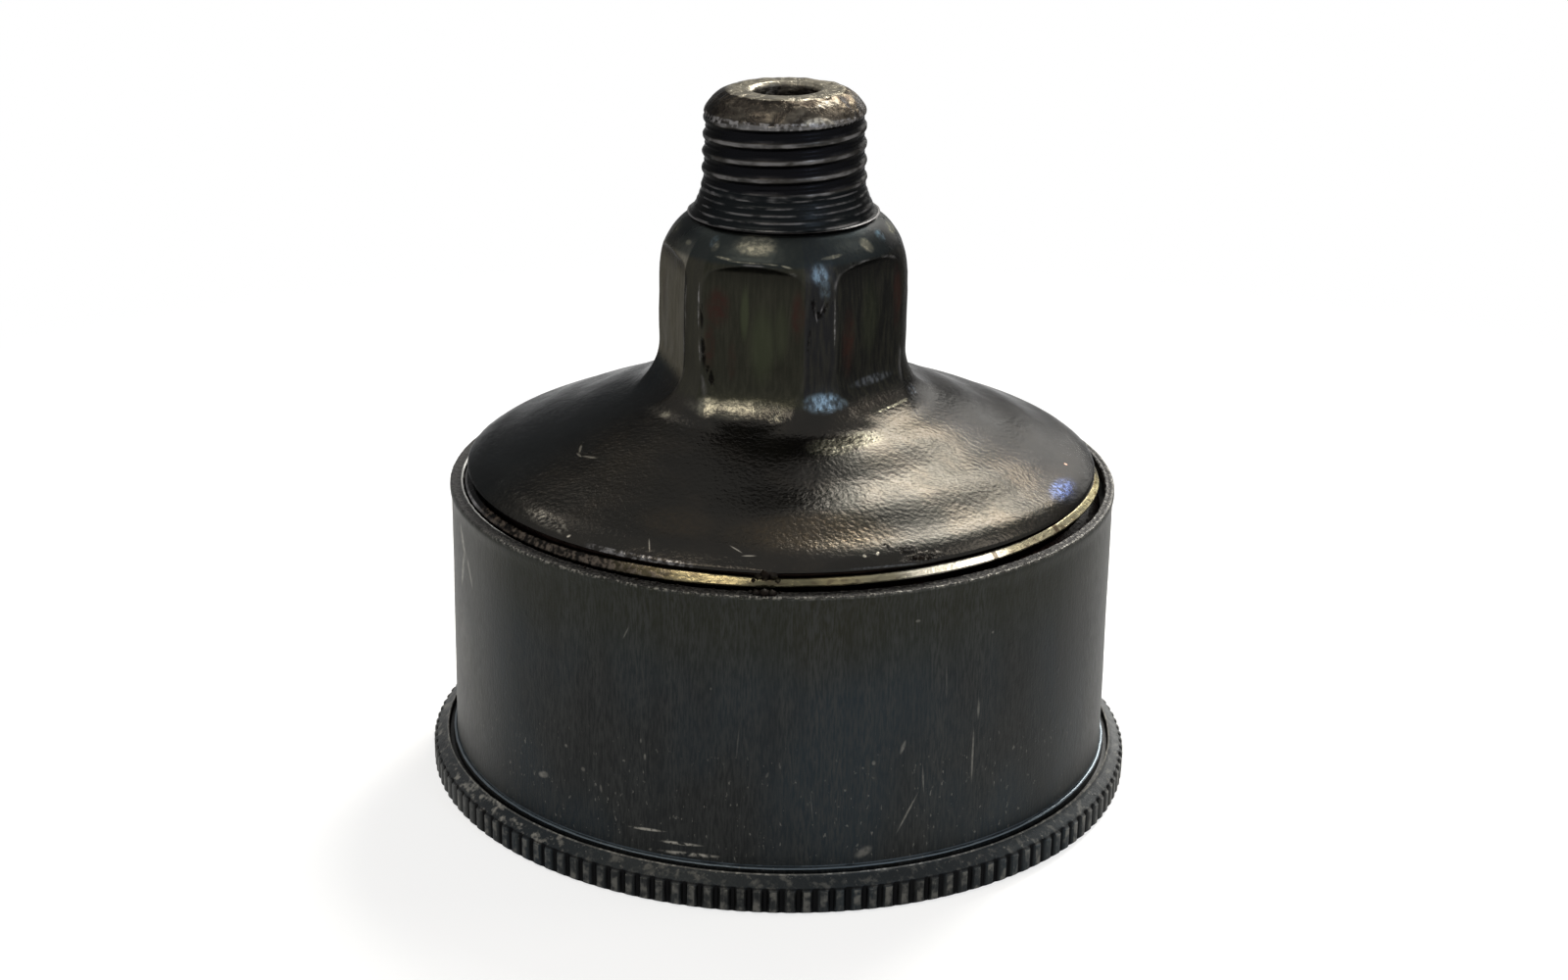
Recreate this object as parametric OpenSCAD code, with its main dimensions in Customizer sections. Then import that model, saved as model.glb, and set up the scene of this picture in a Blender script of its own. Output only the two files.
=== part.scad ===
// Screw-down grease cup, standing on the closed end of its cap.
// The cap is a deep knurled cup that holds the grease. The base is a domed disc
// that screws into the mouth of the cap, with a hexagon neck and a drilled
// pipe-threaded stub on top. All sizes are in millimetres, +Z is the shared axis.
// The threads are fine and are drawn as plain cylinders at their mean sizes.

/* [Cap] */
// Outside diameter of the cap's wall
cap_od = 54.4; // [44:0.1:66]
// Height of the cap from its closed end to its lip
cap_h = 25.0; // [20:0.1:36]
// Thickness of the wall at the mouth, outside the thread
cap_wall = 1.1; // [0.8:0.05:2]
// Thickness of the closed end
cap_floor = 1.7; // [1.2:0.1:3]
// Radius inside, between the wall and the closed end
cap_inner_fillet = 1.6; // [0.8:0.1:2.5]
// How far the lip stands proud of the wall
lip_flare = 0.15; // [0:0.05:0.4]
// Height of the flared stretch under the lip
lip_flare_h = 1.4; // [0.8:0.1:2.5]
// Chamfer inside the lip
lip_chamfer = 0.22; // [0.1:0.02:0.4]

/* [Knurled flange] */
// How far the flange stands out from the wall
flange_out = 2.15; // [1.8:0.05:4]
// Height of the knurled edge
knurl_h = 1.83; // [1.2:0.05:3]
// Number of ribs round the edge
knurl_count = 146; // [60:1:180]
// Depth of the grooves between the ribs
knurl_depth = 0.36; // [0.15:0.02:0.6]
// Share of the pitch that a rib's crest takes
knurl_crest = 0.3; // [0.15:0.05:0.5]
// Width of the sloping face above the knurl
bevel_w = 1.25; // [0.8:0.05:1.5]
// Height of the sloping face
bevel_h = 0.95; // [0.5:0.05:1.5]
// Width of the groove turned between the sloping face and the bead
groove_w = 0.5; // [0.3:0.02:0.7]
// Depth of that groove
groove_d = 0.5; // [0.2:0.02:0.8]
// Slope of the groove's outer side, as a share of its width
groove_slope = 0.25; // [0.1:0.05:0.4]
// Radius of the bead round the foot of the wall
bead_r = 0.17; // [0.1:0.01:0.25]
// Chamfer on the bottom edge
foot_chamfer = 0.15; // [0.05:0.05:0.4]

/* [Base] */
// Running gap between the two threads, all round
thread_gap = 0.3; // [0.2:0.05:0.6]
// Height of the base's rim above the cap's lip, as it is screwed in
rim_up = 1.35; // [0:0.05:5]
// Height of the threaded rim
rim_h = 7.0; // [5:0.1:10]
// Chamfer between the rim and the dome
rim_chamfer = 0.3; // [0.1:0.05:0.6]
// Wall thickness of the rim below its thread
rim_wall = 2.6; // [1.8:0.1:4]
// Wall thickness of the dome
dome_wall = 2.4; // [1.6:0.1:4]
// Rise of the dome's slope from its edge to the neck
dome_rise = 6.3; // [3:0.1:9]
// Width of the dome's rounded edge
dome_edge_w = 3.6; // [1:0.1:6]
// How far that edge swells above the straight slope
dome_edge_swell = 0.4; // [0:0.05:1]

/* [Neck] */
// Diameter of the round shank that the flats are cut on
neck_d = 20.0; // [17:0.1:24]
// Width across the flats
hex_af = 18.4; // [15:0.1:22]
// Height of the neck's top edge above the dome's edge
neck_h = 20.55; // [16:0.05:26]
// Radius of the blend between the dome and the neck
neck_fillet = 4.2; // [2:0.1:6]
// Height of the rounded shoulder over the flats
shoulder_h = 5.3; // [3:0.1:7]
// Diameter of the shoulder's top edge
shoulder_d = 15.34; // [14.4:0.02:17]
// Share of the shoulder's height that shows above the centre of its rounding
shoulder_cut = 0.96; // [0.85:0.01:1]

/* [Pipe stub] */
// Diameter of the pipe thread, at its gauge plane
thread_d = 13.16; // [9:0.01:14]
// Length of the stub above the shoulder
stub_h = 9.7; // [7:0.1:14]
// Height of the cone where the thread runs out
runout_h = 2.1; // [1:0.1:3]
// Diameter at the foot of that cone
runout_d = 14.6; // [13.6:0.02:15]
// Height of the rounded nose
nose_h = 2.2; // [1:0.1:3]
// Diameter of the flat end face
nose_flat_d = 8.8; // [6:0.1:11]
// Diameter of the grease hole
hole_d = 5.1; // [3:0.1:6]
// Chamfer round the end of the grease hole
hole_chamfer = 0.25; // [0.1:0.05:0.5]

/* [Hidden] */
$fn = 128;
black_oxide = "#33332f";
worn_oxide = "#3b3a36";
arc_steps = 8;
margin = 5;
arc_gap = 0.03;

// Radii and heights of the cap
cap_r = cap_od / 2;
bore_r = cap_r - cap_wall;
flange_r = cap_r + flange_out;
bevel_in_r = flange_r - bevel_w;
bevel_top = knurl_h + bevel_h;
bead_out_r = bevel_in_r - groove_w;
bead_mid_r = bead_out_r - bead_r;
flare_start = cap_h - lip_flare_h;

// Radii and heights of the base
rim_r = bore_r - thread_gap;
rim_top = cap_h + rim_up;
rim_bottom = rim_top - rim_h;
dome_edge = rim_r - rim_chamfer;
rim_in_r = rim_r - rim_wall;
neck_r = neck_d / 2;
neck_top = rim_top + neck_h;
stub_top = neck_top + stub_h;
stub_r = thread_d / 2;
shoulder_r = shoulder_d / 2;
hole_r = hole_d / 2;

// The points of an elliptic arc from angle a0 to a1, about a centre in the r-z plane
function arc(centre, rx, rz, a0, a1, steps = arc_steps) =
    [for (i = [0 : steps])
        let (a = a0 + (a1 - a0) * i / steps)
        [centre[0] + rx * cos(a), centre[1] + rz * sin(a)]];

// Height of the dome's surface at radius r: a straight slope that rounds down at its edge
dome_slope = dome_rise / (dome_edge - neck_r);
function dome_z(r) =
    let (from_round = max(0, (r - dome_edge + dome_edge_w) / dome_edge_w))
    rim_top + dome_slope * (dome_edge - r) + dome_edge_swell * (1 - pow(from_round, 2));

// The blend from an upright face at x to the dome: a quarter arc that ends along the dome's slope
blend_end = 270 - atan(dome_slope);
function blend_foot(x) = x + neck_fillet * (1 + cos(blend_end));
function blend_arc(x) =
    arc([x + neck_fillet, dome_z(blend_foot(x)) - neck_fillet * sin(blend_end)],
        neck_fillet, neck_fillet, 180, blend_end);

// The shoulder is part of an ellipse whose centre lies inside the neck
shoulder_end = 64;
shoulder_rx = (neck_r - shoulder_r) / (1 - cos(shoulder_end));
shoulder_z = neck_top - shoulder_h * shoulder_cut;

// Section of the cap, from the axis along the outside to the lip and down the inside.
// The lip stands proud by lip_flare, and half of that at its top edge.
function cap_section() = concat(
    [[0, 0], [flange_r - foot_chamfer, 0], [flange_r, foot_chamfer],
     [flange_r, knurl_h], [bevel_in_r, bevel_top],
     [bevel_in_r - groove_w * groove_slope, bevel_top - groove_d],
     [bead_out_r + groove_w * groove_slope / 2, bevel_top - groove_d]],
    arc([bead_mid_r, bevel_top], bead_r, bead_r, 0, 180),
    [[cap_r, bevel_top], [cap_r, flare_start],
     [cap_r + lip_flare, cap_h - lip_flare], [cap_r + lip_flare / 2, cap_h],
     [bore_r + lip_chamfer, cap_h], [bore_r, cap_h - lip_chamfer]],
    arc([bore_r - cap_inner_fillet, cap_floor + cap_inner_fillet],
        cap_inner_fillet, cap_inner_fillet, 0, -90),
    [[0, cap_floor]]);

// Outline of the knurl: each rib has a flat crest and a groove with sloping sides
function knurl_outline() = [
    for (i = [0 : knurl_count - 1])
        let (pitch = 360 / knurl_count, half = pitch * knurl_crest / 2, a = i * pitch)
        each [
            [flange_r * cos(a - half), flange_r * sin(a - half)],
            [flange_r * cos(a + half), flange_r * sin(a + half)],
            [(flange_r - knurl_depth) * cos(a + pitch / 2),
             (flange_r - knurl_depth) * sin(a + pitch / 2)]]];

// Section of the base, without the flats of its neck
dome_steps = 8;
ceiling = rim_top + dome_rise - dome_wall;
rim_ceiling = rim_top - dome_wall;
function slope_points(r0, r1, drop) = [
    for (i = [0 : dome_steps])
        let (r = r0 + (r1 - r0) * i / dome_steps)
        [r, dome_z(r) - drop]];
function base_section() = concat(
    [[hole_r, stub_top - hole_chamfer], [hole_r, ceiling - hole_chamfer],
     [hole_r + hole_chamfer, ceiling]],
    slope_points(neck_r, rim_in_r - dome_edge_w / 2, dome_wall + dome_edge_swell),
    [[rim_in_r, rim_ceiling - dome_edge_swell],
     [rim_in_r, rim_bottom + rim_chamfer],
     [rim_in_r + rim_chamfer, rim_bottom], [rim_r - rim_chamfer, rim_bottom],
     [rim_r, rim_bottom + rim_chamfer], [rim_r, rim_top - rim_chamfer]],
    slope_points(dome_edge, blend_foot(neck_r) + arc_gap, 0),
    [for (i = [arc_steps : -1 : 0]) blend_arc(neck_r)[i]],
    arc([neck_r - shoulder_rx, shoulder_z], shoulder_rx, shoulder_h, 0, shoulder_end),
    [[shoulder_r, neck_top], [runout_d / 2, neck_top], [stub_r, neck_top + runout_h]],
    arc([nose_flat_d / 2, stub_top - nose_h], stub_r - nose_flat_d / 2, nose_h, 0, 90),
    [[hole_r + hole_chamfer, stub_top]]);

// One flat: a side cutter that runs out at its foot on the neck's own blend radius,
// and then stays just above the dome
module flat_cutter() {
    flat_x = hex_af / 2;
    far_x = neck_r + neck_fillet;
    rotate([90, 0, 0])
        linear_extrude(height = neck_d, center = true)
            polygon(concat(
                [[flat_x, neck_top + margin]],
                blend_arc(flat_x),
                [[far_x, dome_z(far_x) + arc_gap], [far_x + margin, neck_top + margin]]));
}

module cap() {
    color(black_oxide)
        intersection() {
            rotate_extrude() polygon(cap_section());
            linear_extrude(height = cap_h + margin) polygon(knurl_outline());
        }
}

module base() {
    color(worn_oxide)
        difference() {
            rotate_extrude() polygon(base_section());
            for (i = [0 : 5]) rotate([0, 0, 60 * i - 90]) flat_cutter();
        }
}

cap();
base();
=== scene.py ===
import bpy
import bmesh
import math
import numpy as np
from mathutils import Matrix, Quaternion, Vector


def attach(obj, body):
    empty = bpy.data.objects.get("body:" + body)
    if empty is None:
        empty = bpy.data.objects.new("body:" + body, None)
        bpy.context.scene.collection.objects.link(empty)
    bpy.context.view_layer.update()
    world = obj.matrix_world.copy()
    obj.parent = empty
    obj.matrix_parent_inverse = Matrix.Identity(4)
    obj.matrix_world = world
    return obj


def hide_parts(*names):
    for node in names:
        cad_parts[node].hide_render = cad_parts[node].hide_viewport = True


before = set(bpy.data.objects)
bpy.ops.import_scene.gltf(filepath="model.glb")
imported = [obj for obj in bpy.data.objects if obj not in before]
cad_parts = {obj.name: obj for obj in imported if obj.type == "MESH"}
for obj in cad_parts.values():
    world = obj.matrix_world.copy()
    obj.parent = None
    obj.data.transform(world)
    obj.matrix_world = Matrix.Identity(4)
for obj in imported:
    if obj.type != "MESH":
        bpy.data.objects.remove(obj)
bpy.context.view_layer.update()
print("frame loaded:", sorted(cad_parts))

# Shapes are worked out in millimetres and become metres when a mesh is made.
# A turn is an angle in degrees round the shared axis: 0 is the front flat of the neck, and it grows
# anticlockwise seen from above.
mm = 0.001


def linearColour(hexCode):
    parts = [int(hexCode[i:i + 2], 16) / 255 for i in (1, 3, 5)]
    return tuple(p / 12.92 if p <= 0.04045 else ((p + 0.055) / 1.055) ** 2.4 for p in parts) + (1.0,)


def ease(x, low, high):
    t = np.clip((np.asarray(x, float) - low) / (high - low), 0, 1)
    return t * t * (3 - 2 * t)


def wrap(turns):
    return (np.asarray(turns, float) + 180) % 360 - 180


def evenTurns(count, start=-30.0):
    return start + np.arange(count) * 360.0 / count


def ringPoints(turns, radius, height):
    a = np.radians(turns)
    r, z = np.broadcast_to(radius, a.shape), np.broadcast_to(height, a.shape)
    return np.stack([r * np.sin(a), -r * np.cos(a), z], axis=1)


def curveThrough(points, count):
    # a smooth curve through a few measured points
    p = np.array(points, float)
    p = np.vstack([2 * p[0] - p[1], p, 2 * p[-1] - p[-2]])
    out = []
    for s in np.linspace(0, len(p) - 3 - 1e-9, count):
        i, t = int(s), s - int(s)
        a, b, c, d = p[i:i + 4]
        out.append(0.5 * (2 * b + (c - a) * t + (2 * a - 5 * b + 4 * c - d) * t ** 2
                          + (3 * b - a - 3 * c + d) * t ** 3))
    return np.array(out)


def unevenness(points, size, seed, waves=28):
    # a smooth uneven field of about -1 to 1, with lumps of the given size in millimetres
    dice = np.random.default_rng(seed)
    way = dice.normal(size=(waves, 3))
    way /= np.linalg.norm(way, axis=1)[:, None]
    rate = 2 * math.pi / size * dice.uniform(0.55, 1.35, waves)
    phase = dice.uniform(0, 2 * math.pi, waves)
    return np.sin(points @ (way * rate[:, None]).T + phase).sum(axis=1) / math.sqrt(waves)


def skinLift(points, skin):
    # how far a rough skin stands out: its layers are height, size and seed
    return sum(height * unevenness(points, size, seed) for height, size, seed in skin)


def unevenRing(turns, radius, height, rough=0.0, size=3.0, seed=5):
    # a ring of points pushed out and in by up to about rough
    points = ringPoints(turns, radius, height)
    if rough:
        out = rough * unevenness(points, size, seed)
        points[:, :2] *= 1 + (out / np.hypot(points[:, 0], points[:, 1]))[:, None]
    return points


def lump(turns, radius, z, atTurn, atHeight, along, up):
    # 1 in the middle of a small lump and 0 away from it; along and up are its half sizes in millimetres
    round_ = wrap(turns - atTurn) * math.radians(1) * radius / along
    return np.exp(-round_ ** 2 - ((z - atHeight) / up) ** 2)


def stackFaces(rows, joined):
    # joins rings of points, each next ring having as many points, half, twice, or one in the middle
    starts = np.cumsum([0] + [len(r) for r in rows])
    pairs = [(i, i + 1) for i in range(len(rows) - 1)] + ([(len(rows) - 1, 0)] if joined else [])
    fours, threes = [], []
    for i, k in pairs:
        n, m = len(rows[i]), len(rows[k])
        a, b = starts[i] + np.arange(n), starts[k] + np.arange(m)
        aNext, bNext = np.roll(a, -1), np.roll(b, -1)
        if n == m:
            fours.append(np.stack([a, aNext, bNext, b], 1))
        elif m == 1:
            threes.append(np.stack([a, aNext, np.repeat(b, n)], 1))
        elif n == 1:
            threes.append(np.stack([np.repeat(a, m), bNext, b], 1))
        elif n == 2 * m:
            f0, f1, f2 = a[0::2], a[1::2], np.roll(a, -2)[0::2]
            threes += [np.stack(t, 1) for t in ((f0, f1, b), (f1, bNext, b), (f1, f2, bNext))]
        else:
            f0, f1, f2 = b[0::2], b[1::2], np.roll(b, -2)[0::2]
            threes += [np.stack(t, 1) for t in ((a, f1, f0), (a, aNext, f1), (aNext, f2, f1))]
    return [f.tolist() for f in fours] + [f.tolist() for f in threes]


def addPiece(name, rows, joined, body, replaced, creaseAngle, marks=None):
    points = np.concatenate(rows) * mm
    faces = [f for group in stackFaces(rows, joined) for f in group]
    mesh = bpy.data.meshes.new(name)
    mesh.from_pydata(points.tolist(), [], faces)
    for key, values in (marks or {}).items():
        mesh.attributes.new(key, "FLOAT", "POINT").data.foreach_set("value", values.astype(np.float32))
    mesh.shade_smooth()
    mesh.set_sharp_from_angle(angle=math.radians(creaseAngle))
    mesh.update()
    piece = bpy.data.objects.new(name, mesh)
    bpy.context.scene.collection.objects.link(piece)
    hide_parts(replaced)
    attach(piece, body)
    print(name, "has", len(points), "points and", sum(len(f) - 2 for f in faces), "triangles")
    return piece


# The two threads. Both are right-hand, so a crest climbs as its turn grows. The rim's top turn is bare, with a
# wide upper face: bandHeights are turn and height of its outer edge, bandFace is turn and width of that face.
rimThread = dict(
    pitch=2.0, topTurn=-3.3, topHeight=25.36, crestRadius=25.95, rootRadius=25.2, crestWidth=0.46, flankWidth=0.26,
    fadeFrom=88.0, fadeTo=124.0, lowest=19.9,
    bandHeights=[(-180, 24.44), (-60, 25.02), (-20, 25.22), (-3.3, 25.32), (13.2, 25.43), (29.7, 25.48),
                 (48.2, 25.54), (58, 25.6), (72, 25.68), (90, 25.7), (140, 25.7), (180, 24.44)],
    bandFace=[(-180, 1.0), (-40, 1.1), (-14, 1.55), (-2, 1.5), (13, 0.95), (40, 1.0), (180, 1.0)])
pipeThread = dict(
    pitch=1.337, crestTurn=-77.8, crestHeight=53.04, depth=0.24, gaugeRadius=6.578, gaugeHeight=48.9, taper=1 / 32,
    fullFrom=50.2, startsAt=48.3, lastTurn=54.85, toolPitch=0.52, toolDepth=0.045, toolHeight=47.5, fray=0.012,
    coneHeights=(46.95, 47.2, 47.7, 48.2, 48.7, 49.3), coneRadii=(7.36, 7.22, 6.98, 6.76, 6.6, 6.4),
    foot=46.99, threadFoot=49.36, top=54.86)


def crestDistance(turns, height, crestTurn, crestHeight, pitch):
    # signed distance along the axis from the nearest crest, and the number of that crest
    level = (height - crestHeight) / pitch - (turns - crestTurn) / 360
    nearest = np.round(level)
    return (level - nearest) * pitch, nearest


def rimThreadRadius(turns, height):
    t = rimThread
    away, number = crestDistance(wrap(turns), height, t["topTurn"], t["topHeight"], t["pitch"])
    ridge = 1 - ease(np.abs(away), t["crestWidth"] / 2, t["crestWidth"] / 2 + t["flankWidth"])
    ridge = np.where(number >= 0, 0, ridge) * ease(height, t["lowest"] - 0.4, t["lowest"] + 0.3)
    return t["rootRadius"] + (t["crestRadius"] - t["rootRadius"]) * ridge


def bandRings(turns):
    # the bare top turn: rings that climb with it, as height and radius for each turn
    t = rimThread
    spot = wrap(turns)
    climb = np.interp(spot, *zip(*t["bandHeights"]))
    face = np.interp(spot, *zip(*t["bandFace"]))
    there = 1 - ease(spot, t["fadeFrom"], t["fadeTo"])
    section = [(-0.46, 25.22), (-0.34, 25.23), (-0.27, 25.3), (-0.17, 25.86), (-0.13, 25.94), (-0.08, 25.95),
               (0.0, 25.95), (0.04, 25.9), (0.18, 25.75), (0.32, 25.59), (0.37, 25.52), (0.39, 25.42), (0.41, 25.22)]
    rings = []
    for up, radius in section:
        height = climb + (up * face if up > 0 else up)
        rings.append((height, t["rootRadius"] + (radius - t["rootRadius"]) * there))
    return rings


# The base: threaded rim, dome, hexagon neck, shoulder, pipe stub and grease hole. The dome has low rings left by
# forming: ringAt and ringRise give the radius of the first crest and the height at each turn. The faces of the
# neck are the turn and distance of each flat; at its top a flat ends in a small ledge. The lines are points of
# radius and height, and the skins are layers of roughness: height, size and seed.
baseShape = dict(
    rimTop=26.35, rimBottom=19.35, edgeRadius=25.5, rimInside=23.2, threadTop=23.9, edgeFoot=26.05,
    edgeLine=((25.36, 26.08), (25.45, 26.13), (25.52, 26.22), (25.5, 26.36), (25.4, 26.48)),
    domeSkin=((0.005, 6.5, 12), (0.004, 2.6, 13)), neckSkin=((0.03, 5.0, 21), (0.012, 1.9, 22)),
    noseSkin=((0.03, 2.2, 41), (0.016, 0.8, 42)),
    domeRise=6.3, domeEdgeWidth=1.9, domeSwell=0.45, domeWall=2.4, edgeShift=0.2,
    ringPitch=5.45, ringAt=[(-180, 14.9), (0, 15.2), (30, 14.73), (60, 14.4), (90, 15.0), (180, 14.9)],
    ringRise=[(-180, 0.07), (-110, 0.05), (-30, 0.006), (0, 0.014), (20, 0.075), (40, 0.095), (60, 0.075),
              (80, 0.075), (180, 0.07)],
    neckRadius=10.0, neckFoot=30.55, blend=4.2, edgeSoftness=0.07, faceLean=0.16, faceLedge=0.42,
    faces=[(-1.6, 9.12), (60.0, 9.2), (119.2, 9.23), (180.6, 9.18), (-119.5, 9.22), (-60.2, 9.2)],
    shoulderCentre=41.81, shoulderRise=5.3, shoulderWidth=4.15, shoulderTop=46.9, shoulderTopRadius=7.67,
    noseLine=[(6.36, 54.86), (6.26, 55.14), (5.86, 55.72), (5.3, 56.2), (4.8, 56.46), (4.4, 56.56), (4.0, 56.57)],
    noseTop=56.59, holeRadius=2.55,
    holeMouth=((3.5, 56.55), (3.05, 56.56), (2.86, 56.54), (2.74, 56.44), (2.6, 56.3), (2.55, 56.1)),
)
domeSlope = baseShape["domeRise"] / (baseShape["edgeRadius"] - baseShape["neckRadius"])


def domeHeight(r):
    s = baseShape
    rounding = np.maximum(0, (r - s["edgeRadius"] + s["domeEdgeWidth"]) / s["domeEdgeWidth"])
    return s["rimTop"] + domeSlope * (s["edgeRadius"] - r) + s["domeSwell"] * (1 - rounding ** 2)


def domeRadius(z):
    return baseShape["edgeRadius"] - (z - baseShape["rimTop"] - baseShape["domeSwell"]) / domeSlope


def sideProfile(z, faceRadius):
    # radius of an upright face at this distance from the axis, with its blend into the dome
    b = baseShape["blend"]
    endAngle = math.radians(270) - math.atan(domeSlope)
    foot = faceRadius + b * (1 + math.cos(endAngle))
    footHeight = float(domeHeight(np.array(foot)))
    centre = footHeight - b * math.sin(endAngle)
    if z < footHeight:
        return float(domeRadius(z))
    if z < centre:
        return faceRadius + b - math.sqrt(max(b * b - (centre - z) ** 2, 0))
    return faceRadius


def neckRadiusAt(turns, z):
    # radius of the neck, how far each point is from the edge of a flat (0 on it, negative on a flat)
    s = baseShape
    up = min(max((z - s["shoulderCentre"]) / s["shoulderRise"], 0), 1)
    shoulder = s["neckRadius"] - s["shoulderWidth"] + s["shoulderWidth"] * math.sqrt(1 - up ** 2)
    roundSide = sideProfile(z, s["neckRadius"]) if z < s["shoulderCentre"] else shoulder
    flatSide = np.full_like(turns, 99.0)
    for faceTurn, distance in s["faces"]:
        local = np.radians(wrap(turns - faceTurn))
        distance = distance - s["faceLean"] * float(ease(z, 40.6, 43.6)) + s["faceLedge"] * float(ease(z, 43.9, 45.0))
        here = np.where(np.abs(local) < 0.7, sideProfile(z, distance) / np.cos(np.clip(local, -0.7, 0.7)), 99.0)
        flatSide = np.minimum(flatSide, here)
    k = s["edgeSoftness"]
    h = np.clip(0.5 + 0.5 * (flatSide - roundSide) / k, 0, 1)
    return flatSide * (1 - h) + roundSide * h - k * h * (1 - h), flatSide - roundSide


def neckTurns():
    # 80 points a side, so that points lie along both edges of every flat
    sides = []
    for k in range(6):
        (turn, distance), (nextTurn, nextDistance) = baseShape["faces"][k], baseShape["faces"][(k + 1) % 6]
        half = math.degrees(math.acos(distance / baseShape["neckRadius"]))
        nextHalf = math.degrees(math.acos(nextDistance / baseShape["neckRadius"]))
        land = turn + (nextTurn - turn) % 360 - nextHalf
        sides += [np.linspace(turn - half, turn + half, 61)[:-1], np.linspace(turn + half, land, 21)[:-1]]
    return np.degrees(np.unwrap(np.radians(np.concatenate(sides))))


def domeWaves(r, turns, points):
    # the rings, and the lumps of a hammered skin
    s = baseShape
    at = np.interp(wrap(turns), *zip(*s["ringAt"]))
    tall = np.interp(wrap(turns), *zip(*s["ringRise"]))
    rings = tall * np.cos(2 * math.pi * (r - at) / s["ringPitch"])
    return ease(25.45 - r, 0, 0.6) * ease(r, 11.0, 12.5) * (rings + skinLift(points, s["domeSkin"]))


def pipeThreadRadius(turns, z):
    t = pipeThread
    crest = t["gaugeRadius"] - (z - t["gaugeHeight"]) * t["taper"]
    outer = max(crest, float(np.interp(z, t["coneHeights"], t["coneRadii"])))
    away, _ = crestDistance(turns, z, t["crestTurn"], t["crestHeight"], t["pitch"])
    u = np.clip((np.abs(away) / t["pitch"] - 0.05) / 0.34, 0, 1)
    groove = 0.4 * u + 0.6 * u * u * (3 - 2 * u)
    rootLine = 0.24 * np.exp(-((np.abs(away) - t["pitch"] / 2) / 0.1) ** 2)
    start = ease(t["lastTurn"] - z - 0.12 * np.sin(np.radians(turns * 2 + 30)), -0.1, 0.35)
    depth = 0.16 * float(ease(z, 48.4, 49.0)) + 0.84 * float(ease(z, t["startsAt"], t["fullFrom"]))
    depth = t["depth"] * depth * start
    toolAway, _ = crestDistance(turns, z, 0, t["toolHeight"], t["toolPitch"])
    tool = t["toolDepth"] * np.abs(2 * toolAway / t["toolPitch"]) ** 1.5
    tool = tool * float(ease(z, 47.1, 47.3) * (1 - ease(z, 49.6, 50.8)))
    points = ringPoints(turns, outer, z)
    return outer - depth * (groove - rootLine) - tool - t["fray"] * (1 + unevenness(points, 1.1, 31)) * (1 - groove)


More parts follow.
